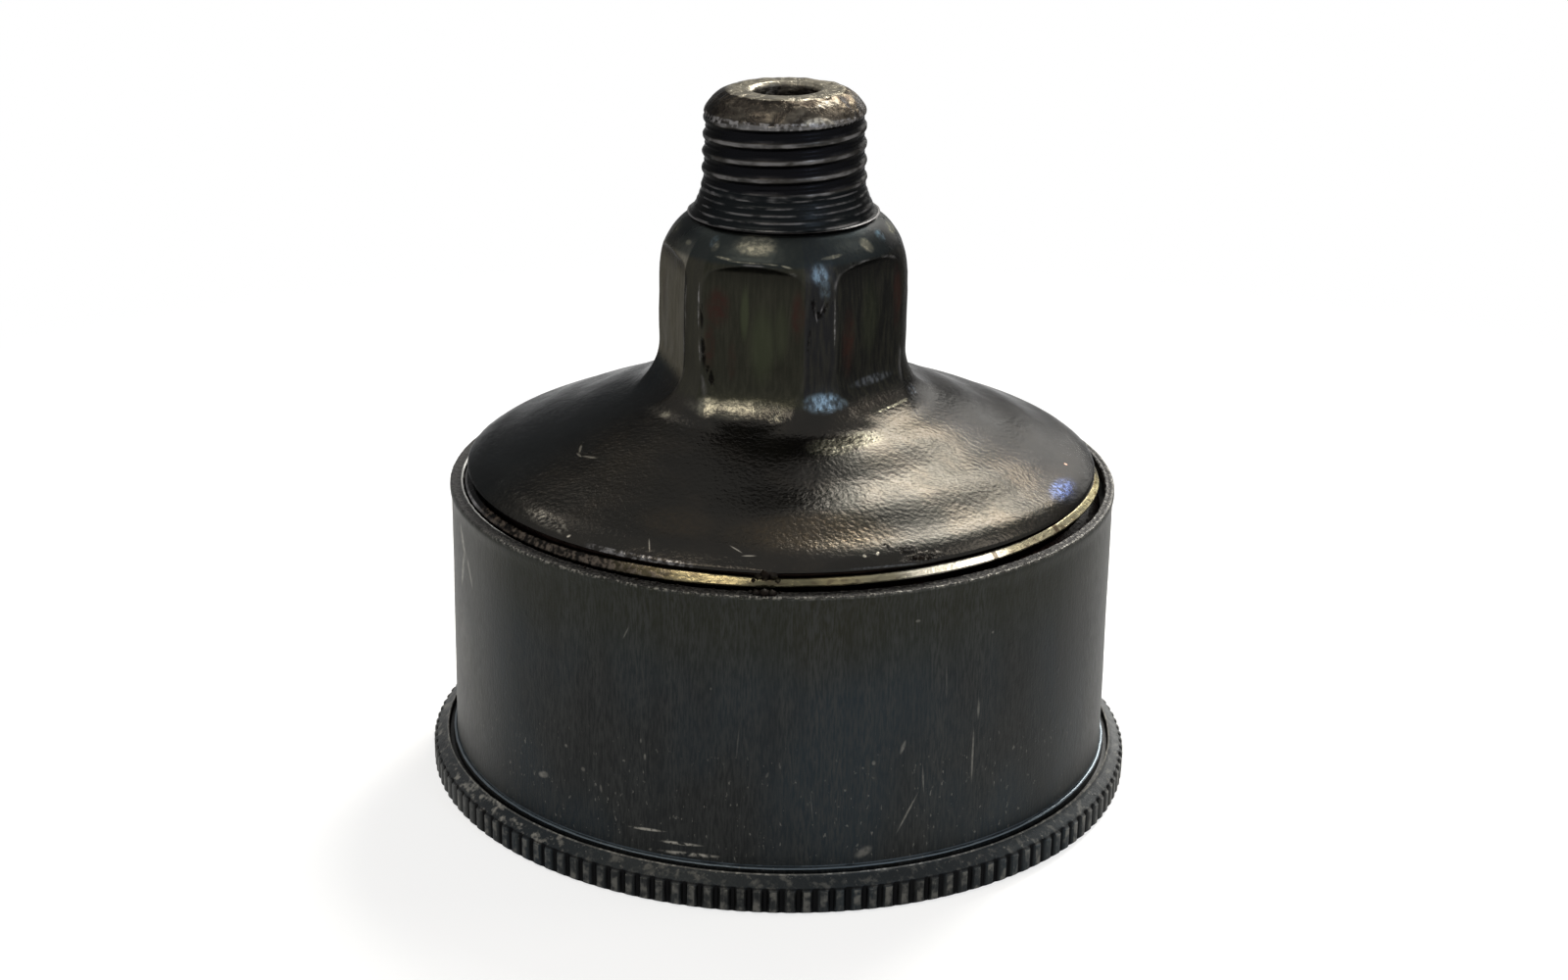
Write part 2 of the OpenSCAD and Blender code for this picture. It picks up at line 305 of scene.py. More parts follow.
def baseRows():
    s = baseShape
    rows, edges, flats = [], [], []

    def keep(points, edge=None, flat=None):
        rows.append(points)
        edges.append(np.zeros(len(points)) if edge is None else edge)
        flats.append(np.zeros(len(points)) if flat is None else flat)

    def ring(*place, **skin):
        keep(unevenRing(*place, **skin))

    fine = neckTurns()
    some, many, evenFine = (evenTurns(n, fine[0]) for n in (120, 240, 480))
    ceiling = s["rimTop"] + s["domeRise"] - s["domeWall"]
    ring(some, s["holeRadius"] + 0.25, ceiling)
    for r in (4.0, 6.5, 9.0, 10.0):
        ring(some, r, ceiling)
    for r in (11.5, 13.5, 16.0, 18.5, 20.5, 21.6):
        ring(some, r, domeHeight(np.array(r)) - s["domeWall"] - s["domeSwell"])
    ring(some, 22.7, s["rimTop"] - s["domeWall"] - 0.75)
    ring(some, 23.1, s["rimTop"] - s["domeWall"] - 1.4)
    for z in (22.0, 20.5, s["rimBottom"] + 0.4):
        ring(some, s["rimInside"], z)
    ring(some, s["rimInside"] + 0.35, s["rimBottom"])
    ring(many, 24.9 - 0.25, s["rimBottom"])
    ring(many, 24.95, s["rimBottom"] + 0.25)
    for z in np.arange(19.75, s["threadTop"] + 0.05, 0.155):
        ring(many, rimThreadRadius(many, z), z, rough=0.012, size=1.6, seed=6)
    bands = bandRings(many)
    for share in (0.45, 0.9):
        ring(many, rimThread["rootRadius"] + 0.01, s["threadTop"] + share * (bands[0][0] - s["threadTop"]))
    dirt = lump(many, 25.6, 26.0, 10.3, 25.9, 0.75, 0.5)
    for z, radius in bands:
        ring(many, np.minimum(radius + 0.4 * dirt, 25.95), z, rough=0.01, size=1.6, seed=6)
    top = bands[-1][0]
    for share in (0.5, 1.0):
        ring(many, 25.23 + 0.45 * dirt, top + share * (s["edgeFoot"] - top), rough=0.012, size=1.6, seed=6)
    shift = s["edgeShift"] * np.exp(-(wrap(many + 80) / 35) ** 2)
    for r, z in s["edgeLine"]:
        more = shift + 0.12 * lump(many, 25.5, z, 35.5, 26.2, 1.3, 0.4) + 0.2 * dirt
        ring(many, r + more, z, rough=0.014, size=1.1, seed=6)
    # the dome, from its edge up to where the neck's blend starts
    low = s["neckFoot"]
    for r in np.concatenate([np.linspace(25.2, 21.8, 13), np.linspace(21.4, float(domeRadius(low)), 18)]):
        turns = many + (fine[0::2] - many) * float(1 - ease(r, 15.5, 21.0))
        points = ringPoints(turns, r + shift * float(ease(r, 21.5, 25.0)), domeHeight(np.array(r)))
        points[:, 2] += domeWaves(r, turns, points)
        keep(points)
    heights = np.concatenate([np.linspace(low + 0.14, 33.6, 22), np.linspace(33.8, 36.4, 11),
                              np.linspace(36.9, 43.0, 9), np.linspace(43.2, 46.84, 32)])
    for z in heights:
        turns = fine + (evenFine - fine) * float(ease(z, 45.2, 46.6))
        radius, away = neckRadiusAt(turns, z)
        points = ringPoints(turns, radius, z)
        radius = radius + skinLift(points, s["neckSkin"]) * float(ease(z, 31.5, 34.5))
        radius = radius + 0.06 * lump(turns, 10, z, -5.0, 44.95, 3.2, 0.16)
        points = ringPoints(turns, radius, z)
        points[:, 2] += domeWaves(radius, turns, points) * float(1 - ease(z, 31.6, 33.4))
        clear = float(ease(z, 33.6, 35.6))
        keep(points, np.exp(-(away / 0.06) ** 2) * clear, (1 - ease(away, -0.12, 0.06)) * clear)
    ring(evenFine, s["shoulderTopRadius"] - 0.04, s["shoulderTop"], rough=0.012, size=1.5)
    ring(many, 7.42, s["shoulderTop"] + 0.02, rough=0.012, size=1.5)
    # the pipe stub
    t = pipeThread
    for z in np.concatenate([np.arange(t["foot"], 49.3, 0.08), np.arange(t["threadFoot"], t["top"], 0.068)]):
        keep(ringPoints(many, pipeThreadRadius(many, z), z))
    for r, z in curveThrough(s["noseLine"], 15):
        points = ringPoints(many, r, z)
        points[:, 2] = np.minimum(points[:, 2] + skinLift(points, s["noseSkin"]), s["noseTop"])
        keep(points)
    for r, z in s["holeMouth"]:
        ring(some, r, z, rough=0.015, size=1.2, seed=43)
    for z in (55.4, 54.0, 51.0, 46.0, 40.0, 34.0, ceiling + 0.25):
        ring(some, s["holeRadius"], z)
    return rows, dict(neckEdge=np.concatenate(edges), neckFlat=np.concatenate(flats))


rows, marks = baseRows()
basePiece = addPiece("greaseCupBase", rows, True, "base", "base", 40, marks)


# The cap: knurled flange, bevel, groove and bead, drawn wall, flared lip, thread inside, closed end. The wall's
# line gives heights and how far it stands out there; the scratches and marks are drawn on a view at viewRadius.
capShape = dict(
    flangeRadius=29.335, ribs=146, ribDepth=0.36, knurlTop=1.83, bevelInside=28.1, bevelTop=2.78,
    grooveFloor=2.28, beadOut=27.6, beadRadius=0.17, wallFoot=27.3, wallHead=27.06, viewRadius=27.2,
    boreRadius=26.1, threadRoot=26.55, threadLow=9.0, floor=1.7, floorBlend=1.6,
    wallLine=[(2.92, 0.03), (3.05, 0.005), (3.4, 0), (4.5, 0), (6.5, 0), (9, 0), (12, 0), (15, 0), (18, 0), (21, 0),
              (23.0, 0), (23.6, 0.0), (23.95, 0.03), (24.3, 0.09), (24.55, 0.13), (24.7, 0.135)],
    lipInside=[(-180, 26.2), (-100, 26.14), (-40, 26.06), (30, 26.06), (55, 26.16), (78, 26.42), (130, 26.5),
               (170, 26.2), (180, 26.2)],
)


def knurlRing(scale):
    # eight points a rib: a narrow crest with rounded corners and a rounded groove
    s = capShape
    dice = np.random.default_rng(71)
    share = np.array([-0.21, -0.13, 0.0, 0.13, 0.21, 0.40, 0.5, 0.60])
    depth = np.array([0.07, 0.015, 0.0, 0.015, 0.07, 0.92, 1.0, 0.92])
    slip = dice.uniform(-0.035, 0.035, s["ribs"])
    deep = dice.uniform(0.86, 1.0, s["ribs"])
    pitch = 360 / s["ribs"]
    turns = np.concatenate([(i + slip[i] + share) * pitch for i in range(s["ribs"])])
    radius = np.concatenate([s["flangeRadius"] - s["ribDepth"] * depth * deep[i] for i in range(s["ribs"])])
    return turns, s["flangeRadius"] - (s["flangeRadius"] - radius) * scale


def mouthRadius(turns):
    # the lip's inner edge, with the small lump of dirt that hangs over it at the front
    return np.interp(wrap(turns), *zip(*capShape["lipInside"])) - 0.15 * lump(turns, 26, 0, 10.6, 0, 0.8, 1)


def capThreadRadius(turns, z):
    s, t = capShape, rimThread
    away, _ = crestDistance(wrap(turns), z, t["topTurn"], t["topHeight"], t["pitch"])
    groove = 1 - ease(np.abs(away), 0.32, 0.62)
    groove = groove * ease(z, s["threadLow"] - 0.3, s["threadLow"] + 0.6)
    return s["boreRadius"] + (s["threadRoot"] - s["boreRadius"]) * groove


def capRows():
    s = capShape
    rows = [np.array([[0.0, 0.0, 0.0]])]
    lipMarks = [np.zeros((1, 3))]
    fine, wall, inner, some = (evenTurns(n, 0.0) for n in (1168, 584, 292, 146))

    def ring(turns, radius, height, rough=0.0, size=2.0, seed=51, lift=0.0, lip=(0.0, 0.0, 0.0)):
        points = unevenRing(turns, radius, height, rough, size, seed)
        if lift:
            points[:, 2] += lift * unevenness(points, size, seed + 1)
        rows.append(points)
        lipMarks.append(np.tile(lip, (len(points), 1)))

    for n, r in ((73, 6.0), (146, 16.0), (292, 26.0)):
        ring(evenTurns(n, 0.0), r, 0.0)
    ring(wall, 28.4, 0.0)
    for z, scale, back in ((0.0, 0.7, 0.17), (0.15, 1.0, 0.0), (0.6, 1.0, 0.0), (1.2, 1.0, 0.0), (1.66, 1.0, 0.0)):
        turns, radius = knurlRing(scale)
        ring(turns, np.minimum(radius, s["flangeRadius"] - back) - 0.004, z, rough=0.004, size=0.9)
    slope = (s["flangeRadius"] - s["bevelInside"]) / (s["bevelTop"] - s["knurlTop"])
    turns, radius = knurlRing(1.0)
    for z in (1.80, 1.88, 1.95, 2.02, 2.09, 2.16, 2.26, 2.5, 2.70):
        bevel = s["flangeRadius"] - 0.01 - max(0.0, z - s["knurlTop"] + 0.03) * slope
        ring(turns, np.minimum(radius - 0.004, bevel), z, rough=0.012, size=1.3)
    ring(fine, s["bevelInside"] + 0.02, s["bevelTop"] - 0.01, rough=0.012, size=1.3)
    ring(wall, s["bevelInside"] - 0.05, s["bevelTop"] - 0.03, rough=0.012, size=1.3)
    ring(wall, s["bevelInside"] - 0.11, s["grooveFloor"] + 0.08)
    ring(wall, s["bevelInside"] - 0.17, s["grooveFloor"])
    ring(wall, s["beadOut"] + 0.05, s["grooveFloor"])
    for a in (-20, 25, 60, 95, 130, 160):
        angle = math.radians(a)
        ring(wall, s["beadOut"] - s["beadRadius"] * (1 - math.cos(angle)),
             s["bevelTop"] - 0.02 + s["beadRadius"] * math.sin(angle), rough=0.015, size=1.5)
    for z, out in s["wallLine"]:
        r = s["wallFoot"] + (s["wallHead"] - s["wallFoot"]) * (z - 3) / 21.5
        ring(wall, r + out, z, rough=0.018, size=9.0, seed=53)
    # the lip: a rounded outer edge, a flat top and a narrow chamfer inside; lip marks its outer edge, inner edge, top
    for out, z, edge in ((0.115, 24.82, 0.4), (0.06, 24.92, 1.0)):
        ring(fine, s["wallHead"] + out, z, rough=0.015, size=0.7, seed=55, lip=(edge, 0, edge - 0.4))
    inside = mouthRadius(fine)
    for r, z, rough, size, seed, lift, lip in (
            (s["wallHead"] - 0.05, 24.975, 0.014, 0.7, 55, 0.01, (0.6, 0, 1)),
            (s["wallHead"] - 0.18, 24.97, 0, 0.9, 57, 0.012, (0, 0, 1)),
            ((s["wallHead"] + inside) / 2, 24.94, 0, 0.9, 57, 0.018, (0, 0, 1)),
            (inside + 0.2, 24.96, 0, 0.9, 57, 0.012, (0, 0, 1)),
            (inside + 0.09, 24.98, 0.02, 0.8, 59, 0.01, (0, 0.8, 1)),
            (inside, 24.92, 0.022, 0.8, 59, 0, (0, 1, 1)),
            (np.maximum(inside - 0.02, s["boreRadius"] - 0.04), 24.72, 0.01, 0.8, 59, 0, (0, 0, 0))):
        ring(fine, r, z, rough, size, seed, lift, lip)
    ring(wall, np.maximum(mouthRadius(wall) - 0.03, s["boreRadius"] - 0.02), 24.48)
    ring(inner, np.maximum(mouthRadius(inner) - 0.06, s["boreRadius"]), 24.42)
    for z in np.arange(24.28, s["threadLow"] - 0.5, -0.19):
        ring(inner, capThreadRadius(inner, z), z)
    ring(some, s["boreRadius"], 8.2)
    for a in np.linspace(0, 90, 7):
        angle = math.radians(a)
        ring(some, s["boreRadius"] - s["floorBlend"] * (1 - math.cos(angle)),
             s["floor"] + s["floorBlend"] * (1 - math.sin(angle)))
    ring(evenTurns(73, 0.0), 12.0, s["floor"])
    rows.append(np.array([[0.0, 0.0, s["floor"]]]))
    lipMarks.append(np.zeros((1, 3)))
    return rows, dict(zip(("lipOuter", "lipInner", "lipTop"), np.concatenate(lipMarks).T))


rows, marks = capRows()
capPiece = addPiece("greaseCupCap", rows, False, "cap", "cap", 34, marks)


# Crumbs of dried grease on the band, the dome's edge and the lip: turn, radius, height and size
baseCrumbs = dict(seed=61, places=[
    (9.2, 25.5, 25.9, 0.4), (10.2, 25.48, 26.0, 0.5), (11.4, 25.5, 26.0, 0.42), (10.0, 25.6, 25.6, 0.38),
    (12.2, 25.66, 25.66, 0.28), (8.3, 25.68, 25.6, 0.25), (34.4, 25.0, 26.46, 0.22), (35.6, 25.1, 26.42, 0.34),
    (36.8, 25.2, 26.36, 0.4), (38.0, 25.26, 26.32, 0.32), (39.4, 25.34, 26.26, 0.2), (32.4, 24.9, 26.52, 0.13)])
capCrumbs = dict(seed=62, places=[
    (8.9, 26.52, 25.0, 0.34), (10.2, 26.6, 25.05, 0.42), (11.4, 26.56, 25.0, 0.34), (7.9, 26.36, 25.0, 0.2),
    (12.6, 26.3, 25.0, 0.12), (5.0, 26.26, 25.0, 0.1), (2.0, 26.27, 25.0, 0.12), (-4.0, 26.29, 25.0, 0.13),
    (-7.5, 26.26, 25.0, 0.1), (-11.0, 26.3, 25.0, 0.14), (-15.0, 26.28, 25.0, 0.12), (-21.0, 26.28, 25.0, 0.12)])


def addCrumbs(piece, crumbs):
    # each crumb is a small rough closed ball; the point attribute marks it for the piece's materials
    random = np.random.default_rng(crumbs["seed"])
    shape = bmesh.new()
    shape.from_mesh(piece.data)
    grease = shape.verts.layers.float.new("grease")
    for turn, radius, height, size in crumbs["places"]:
        centre = Vector(ringPoints(np.array([turn]), radius, height)[0] * mm)
        for vert in bmesh.ops.create_icosphere(shape, subdivisions=2, radius=size * mm)["verts"]:
            vert.co = vert.co * random.uniform(0.72, 1.1) + centre
            vert[grease] = 1.0
            for face in vert.link_faces:
                face.smooth = True
    shape.to_mesh(piece.data)
    shape.free()


addCrumbs(basePiece, baseCrumbs)
addCrumbs(capPiece, capCrumbs)
print("crumbs of grease added")


# Materials. A mask is a node's output from 0 to 1; the helpers below find its node tree by themselves.
def addNode(tree, kind, links=None, values=None, **settings):
    node = tree.nodes.new("ShaderNode" + kind)
    for key, value in settings.items():
        setattr(node, key, value)
    for key, value in (values or {}).items():
        node.inputs[key].default_value = value
    for key, socket in (links or {}).items():
        tree.links.new(socket, node.inputs[key])
    return node


def newMaterial(name):
    material = bpy.data.materials.new(name)
    material.use_nodes = True
    tree = material.node_tree
    tree.nodes.clear()
    shader = addNode(tree, "BsdfPrincipled")
    addNode(tree, "OutputMaterial", {"Surface": shader.outputs[0]})
    return material, tree, shader


def chain(operation, values):
    # folds sockets and plain numbers into one socket, from left to right
    out = values[0]
    for other in values[1:]:
        plain = isinstance(other, (int, float))
        out = addNode(out.id_data, "Math", {0: out} if plain else {0: out, 1: other}, {1: other} if plain else None,
                      operation=operation).outputs[0]
    return out


def times(*values):
    return chain("MULTIPLY", values)


def largest(*values):
    return chain("MAXIMUM", values)


def placeSockets(tree):
    # where a point of the surface is: place in millimetres, place in plan, distance from the axis, height and turn
    where = addNode(tree, "TexCoord").outputs["Object"]
    place = addNode(tree, "VectorMath", {0: where}, {"Scale": 1 / mm}, operation="SCALE").outputs[0]
    x, y, height = addNode(tree, "SeparateXYZ", {0: place}).outputs
    flat = addNode(tree, "CombineXYZ", {0: x, 1: y}).outputs[0]
    radius = addNode(tree, "VectorMath", {0: flat}, operation="LENGTH").outputs["Value"]
    angle = chain("ARCTAN2", (x, times(y, -1)))
    turn = addNode(tree, "Math", {0: angle}, operation="DEGREES").outputs[0]
    return place, flat, radius, height, turn


def rise(value, low, high):
    # 0 up to low, 1 from high on
    return addNode(value.id_data, "MapRange", {0: value}, {1: low, 2: high, 3: 0, 4: 1},
                   interpolation_type="SMOOTHSTEP").outputs[0]


def between(value, low, high, soft):
    # 1 between low and high, fading to 0 over the soft distance outside
    return times(rise(value, low - soft, low), rise(value, high + soft, high))


def patches(place, size, low, high, detail=3, stretch=(1, 1, 1), seed=0):
    # a blotchy mask: the share of the surface above low, with blotches of this size in millimetres
    tree = place.id_data
    spread = addNode(tree, "Mapping", {0: place}, {1: (seed, seed * 1.7, -seed), 3: tuple(v / size for v in stretch)})
    noise = addNode(tree, "TexNoise", {"Vector": spread.outputs[0]},
                    {"Scale": 1, "Detail": detail, "Roughness": 0.55})
    return rise(noise.outputs[0], low, high)


def mixed(kind, slots, base, value, masks):
    # value laid over base, as far as the product of the masks goes; base is a value too, or another node's output
    amount = times(*masks)
    mix = addNode(amount.id_data, "Mix", {0: amount}, {slots[1]: value}, data_type=kind)
    if isinstance(base, bpy.types.NodeSocket):
        amount.id_data.links.new(base, mix.inputs[slots[0]])
    else:
        mix.inputs[slots[0]].default_value = base
    return mix.outputs[slots[2]]


def tint(base, colour, *masks):
    # lays a colour over another, or over a first hex code
    base = linearColour(base) if isinstance(base, str) else base
    return mixed("RGBA", (6, 7, 2), base, linearColour(colour), masks)


def blend(base, value, *masks):
    return mixed("FLOAT", (2, 3, 0), base, value, masks)


def strokes(laid, marks):
    # soft-ended strokes on a view laid flat: place across and up, length, width (mm), strength, and for a slanted
    # one its direction in degrees
    tree = laid.id_data
    out = None
    for x, y, length, width, strength, *slant in marks:
        mapped = addNode(tree, "Mapping", {0: laid}, {
            1: (x, y, 0), 2: (0, 0, math.radians(sum(slant))), 3: (length / 2, width / 2, 1)}, vector_type="TEXTURE")
        far = addNode(tree, "VectorMath", {0: mapped.outputs[0]}, operation="LENGTH").outputs["Value"]
        mark = addNode(tree, "MapRange", {0: far}, {1: 0.35, 2: 1, 3: strength, 4: 0},
                       interpolation_type="SMOOTHSTEP").outputs[0]
        out = mark if out is None else largest(out, mark)
    return out


def unrolled(turn, height, radius):
    # an upright face laid flat: distance round it and height, in millimetres
    along = times(turn, math.radians(1) * radius)
    return addNode(along.id_data, "CombineXYZ", {0: along, 1: height}).outputs[0]


def onSide(laid, radius, marks):
    # strokes on an unrolled face, whose first two numbers are turn and height
    return strokes(laid, [(turn * math.radians(1) * radius, *mark) for turn, *mark in marks])


def onTop(flat, marks):
    # strokes on the plan view, whose first two numbers are turn and radius
    return strokes(flat, [(radius * math.sin(math.radians(turn)), -radius * math.cos(math.radians(turn)), *mark)
                          for turn, radius, *mark in marks])


def greased(colour, grease, specks):
    # dark dried grease on the crumbs
    return tint(colour, "#14100d", grease, blend(1, 0.6, specks))


def finish(shader, colour, rough, reliefs):
    # colour, gloss and one bump from several reliefs, each a mask and its height in millimetres
    tree = colour.id_data
    tree.links.new(colour, shader.inputs["Base Color"])
    tree.links.new(rough, shader.inputs["Roughness"])
    total = None
    for mask, height in reliefs:
        part = times(mask, height)
        total = part if total is None else chain("ADD", (total, part))
    bump = addNode(tree, "Bump", {"Height": total}, {"Strength": 1, "Distance": mm})
    tree.links.new(bump.outputs[0], shader.inputs["Normal"])


# Black oxide on drawn steel: a thin conversion coat, so it reflects like a dark metal with a soft satin gloss.
# The draw lines run up the wall as short fine streaks; they are about 0.05 mm wide on the real one and are drawn
# three times as coarse to show. Edges have lost the coat.
oxideDrawn = dict(
    # pale is a painted sheen for the sides of the wall
    dark="#1f2020", cool="#20262a", olive="#23231b", streak="#353635", pale="#565654", bare="#8d8a82", dust="#77756f",
    # groove is painted shade for the cap's grooves
    groove="#060607", edgeTint="#e0e0e0", metallic=0.92, roughness=0.44, streakWidth=0.15, grain=0.22)

# Black oxide on forged and turned steel, rubbed with grease: warmer and glossier than the drawn cap, with the
# fine pebbled skin of a forging. Thread crests and corners are rubbed bright; on the pipe thread the bright crests
# are partly a painted highlight.
oxideForged = dict(
    dark="#262523", cool="#272d30", warm="#2a2825", bare="#a39e92", crest="#838181", khaki="#857b5d", creamPaintedReflection="#cfc9b8",
    beige="#77725f", maroon="#2e1f1b", green="#363a2b", paintedBlueReflection="#6f818c", violet="#39425a", beigeSheen="#8a8778",
    grooveShadeBlack="#08090d", edgeTint="#8f8f8f", metallic=0.92, roughness=0.2, pebble=0.36)


def makeCapMaterial():
    m = oxideDrawn
    material, tree, shader = newMaterial("blackOxideDrawnSteel")
    place, _, radius, height, turn = placeSockets(tree)
    streaks = patches(place, m["streakWidth"], 0.3, 0.7, detail=2, stretch=(1, 1, 0.14))
    bands = patches(place, 1.3, 0.3, 0.7, detail=2, stretch=(1, 1, 0.08), seed=7)
    broad = patches(place, 9, 0.35, 0.7, detail=2, stretch=(1, 1, 0.6), seed=3)
    grain = patches(place, m["grain"], 0.2, 0.8, detail=2)
    colour = tint(m["dark"], m["cool"], broad)
    colour = tint(colour, m["olive"], rise(height, 16, 23), 0.8)
    colour = tint(colour, m["streak"], streaks, blend(0.4, 0.75, bands))
    # painted sheen: below the lip the wall is painted paler at its sides and back than at the front, a painted
    # reflection
    side = largest(between(turn, -140, -52, 18), times(rise(turn, 58, 92), 0.6), times(rise(turn, -58, -92), 0.6))
    colour = tint(colour, m["pale"], side, rise(height, 24.75, 24.4), 0.5)
    # worn places: lip edges, bevel edge and three deep scratches
    wallSide = capShape["viewRadius"]
    laid = unrolled(turn, height, wallSide)
    gouges = onSide(laid, wallSide, [
        (-8.6, 4.9, 3.6, 0.3, 0.8, 4), (-2.8, 4.2, 4, 0.34, 0.95, 2), (-1.2, 3.4, 5.6, 0.44, 1, 2)])
    breaks = patches(place, 0.45, 0.35, 0.6, seed=2)
    specks = patches(place, 0.42, 0.48, 0.66, seed=5)
    fineSpecks = patches(place, 0.26, 0.46, 0.62, seed=6)
    lipOuter, lipInner, lipTop = (addNode(tree, "Attribute", attribute_name=name).outputs["Fac"]
                                  for name in ("lipOuter", "lipInner", "lipTop"))
    bevelEdge = times(between(radius, 27.98, 28.16, 0.05), between(height, 2.66, 2.9, 0.05))
    atLeft = between(turn, -125, -48, 10)
    atRight = between(turn, 24, 140, 14)
    worn = largest(times(lipOuter, fineSpecks, blend(0.5, 0.02, atLeft)), times(lipOuter, atRight, 0.12),
                   times(lipInner, blend(0.1, 0.9, fineSpecks), blend(0.45, 0.22, atRight)),
                   times(bevelEdge, blend(0.3, 1, specks), 0.5), times(gouges, breaks),
                   times(lipTop, fineSpecks, blend(0.16, 0.04, atLeft)))
    colour = tint(colour, "#1d1c1c", lipTop, 0.9)
    # the grooves of the knurl and the one round the bead are painted near black: painted shade
    onKnurl = between(height, -0.2, 1.95, 0.1)
    deep = times(rise(radius, 29.28, 29.06), between(radius, 28.8, 29.4, 0.02), onKnurl)
    turned = times(between(radius, 27.5, 28.02, 0.04), rise(height, 2.62, 2.4))
    onBevel = times(between(height, 1.9, 2.9, 0.05), between(radius, 27.98, 29.4, 0.05))
    colour = tint(colour, "#1b1e20", onBevel, 0.8)
    bevelSpecks = times(onBevel, patches(place, 0.7, 0.5, 0.68, detail=5, seed=9),
                        blend(0.18, 0.8, between(turn, -80, -30, 12)))
    ribTop = times(rise(radius, 29.27, 29.33), onKnurl, patches(place, 0.8, 0.42, 0.66, detail=4, seed=35))
    # painted highlight: a blue-grey line along the top of the bead
    colour = tint(colour, "#4a5258", between(radius, 27.2, 27.62, 0.03), between(height, 2.84, 3, 0.04), 0.8)
    # marks on the wall
    scratches = onSide(laid, wallSide, [
        (46.3, 14.2, 0.3, 2.2, 0.4), (45.5, 10.4, 0.24, 5.6, 0.6), (33.8, 6.7, 0.22, 4.2, 0.6, -28),
        (32.7, 12.3, 0.4, 1.4, 0.5, -20), (36.4, 9.4, 0.18, 3, 0.4, 4), (-29.3, 6.8, 1.5, 0.7, 0.75, 20),
        (-24, 10.1, 0.4, 0.4, 0.5), (-8.9, 11, 0.25, 0.7, 0.55), (-9.6, 12.3, 0.2, 0.5, 0.35),
        (27.9, 11.3, 0.4, 0.5, 0.45, 10), (32.8, 12.4, 0.45, 0.25, 0.4), (34.6, 22.4, 0.5, 0.3, 0.5),
        (48.6, 20.2, 0.3, 0.3, 0.45), (26.6, 3.9, 1.8, 1, 0.5, 30), (-12.2, 20.9, 0.16, 1.4, 0.4, -25),
        (6.3, 13, 0.1, 3, 0.25, -4), (18.1, 8, 0.1, 3, 0.25, 5), (40, 17, 0.1, 4, 0.25, 2),
        (-20.5, 8.6, 0.5, 0.5, 0.35), (-17, 7.4, 0.3, 0.9, 0.35, 8), (11, 10.6, 0.25, 0.6, 0.3, -20),
        (2, 17.4, 0.2, 0.3, 0.3)])
    smear = onSide(laid, wallSide, [
        (-56.2, 22.2, 3.8, 0.9, 0.7, -60), (-56.6, 19.8, 4.6, 0.8, 0.7, 72), (-52.6, 20.2, 3.6, 0.6, 0.5, -62),
        (-57, 13.4, 6, 9, 0.1)])
    flecks = times(patches(place, 0.3, 0.66, 0.74, detail=2, stretch=(1, 1, 0.5), seed=17),
                   between(height, 3.6, 9, 5), 0.4)
    pale = largest(times(scratches, blend(0.55, 1, breaks)), bevelSpecks, flecks)
    colour = tint(colour, m["dust"], pale)
    colour = tint(colour, "#a3a199", smear, blend(0.5, 1, breaks), 0.7)
    colour = tint(colour, m["bare"], largest(worn, times(ribTop, 0.28)))
    # painted shade in the knurl's grooves and in the groove round the bead
    colour = tint(colour, m["groove"], largest(times(deep, 0.9), times(turned, 0.85)))
    # the lip's inner edge at the left: rubbed bare, and painted near white as a painted highlight
    colour = tint(colour, "#e4e4e0", lipInner, atLeft, 0.9)
    # painted shade: the top of the lip is darkened at the right side
    colour = tint(colour, "#0b0a0a", lipTop, atRight, blend(0.9, 0.2, fineSpecks))
    grease = addNode(tree, "Attribute", attribute_name="grease").outputs["Fac"]
    colour = greased(colour, grease, specks)
    rough = blend(m["roughness"], 0.54, streaks)
    rough = blend(rough, 0.6, largest(grease, pale, times(lipTop, atRight)))
    rough = blend(rough, 0.32, worn)
    dents = patches(place, 1.6, 0.62, 0.8, seed=13)
    finish(shader, colour, rough, [
        (streaks, 0.005), (grain, 0.007), (dents, 0.015), (times(lipTop, fineSpecks), 0.05)])
    shader.inputs["Metallic"].default_value = m["metallic"]
    shader.inputs["Specular Tint"].default_value = linearColour(m["edgeTint"])
    return material


def startBaseMaterial(name):
    # what the four finishes of the base share
    m = oxideForged
    material, tree, shader = newMaterial(name)
    places = place, *_, turn = placeSockets(tree)
    shader.inputs["Metallic"].default_value = m["metallic"]
    shader.inputs["Specular Tint"].default_value = linearColour(m["edgeTint"])
    colour = tint(m["dark"], m["warm"], patches(place, 4, 0.4, 0.7, detail=4))
    # painted light: the left side of the base is tinted blue-grey, a painted cool reflection
    colour = tint(colour, m["cool"], between(turn, -140, -72, 32), 0.8)
    specks = patches(place, 0.42, 0.42, 0.64, seed=5)
    return material, shader, places, colour, specks


def finishForged(shader, place, height, colour, specks, dirt, reliefs):
    # the end of both forged finishes: dirt, gloss and the pebbled skin, which is finer on the neck
    m = oxideForged
    grease = addNode(place.id_data, "Attribute", attribute_name="grease").outputs["Fac"]
    colour = tint(colour, "#0b0908", dirt, 0.9)
    colour = greased(colour, grease, specks)
    rough = blend(m["roughness"], 0.27, patches(place, 2.4, 0.35, 0.7, detail=4, seed=11))
    rough = blend(rough, 0.42, between(height, 34.2, 46.6, 0.8), 0.7)
    rough = blend(rough, 0.6, largest(dirt, grease))
    pebble = patches(place, m["pebble"], 0.2, 0.8, detail=2.5, seed=1)
    coarse = patches(place, 1.5, 0.2, 0.8, seed=2)
    fineness = blend(0.35, 1, between(height, 24, 34, 0.6))
    finish(shader, colour, rough, [(times(pebble, fineness), 0.019), (coarse, 0.01)] + reliefs)


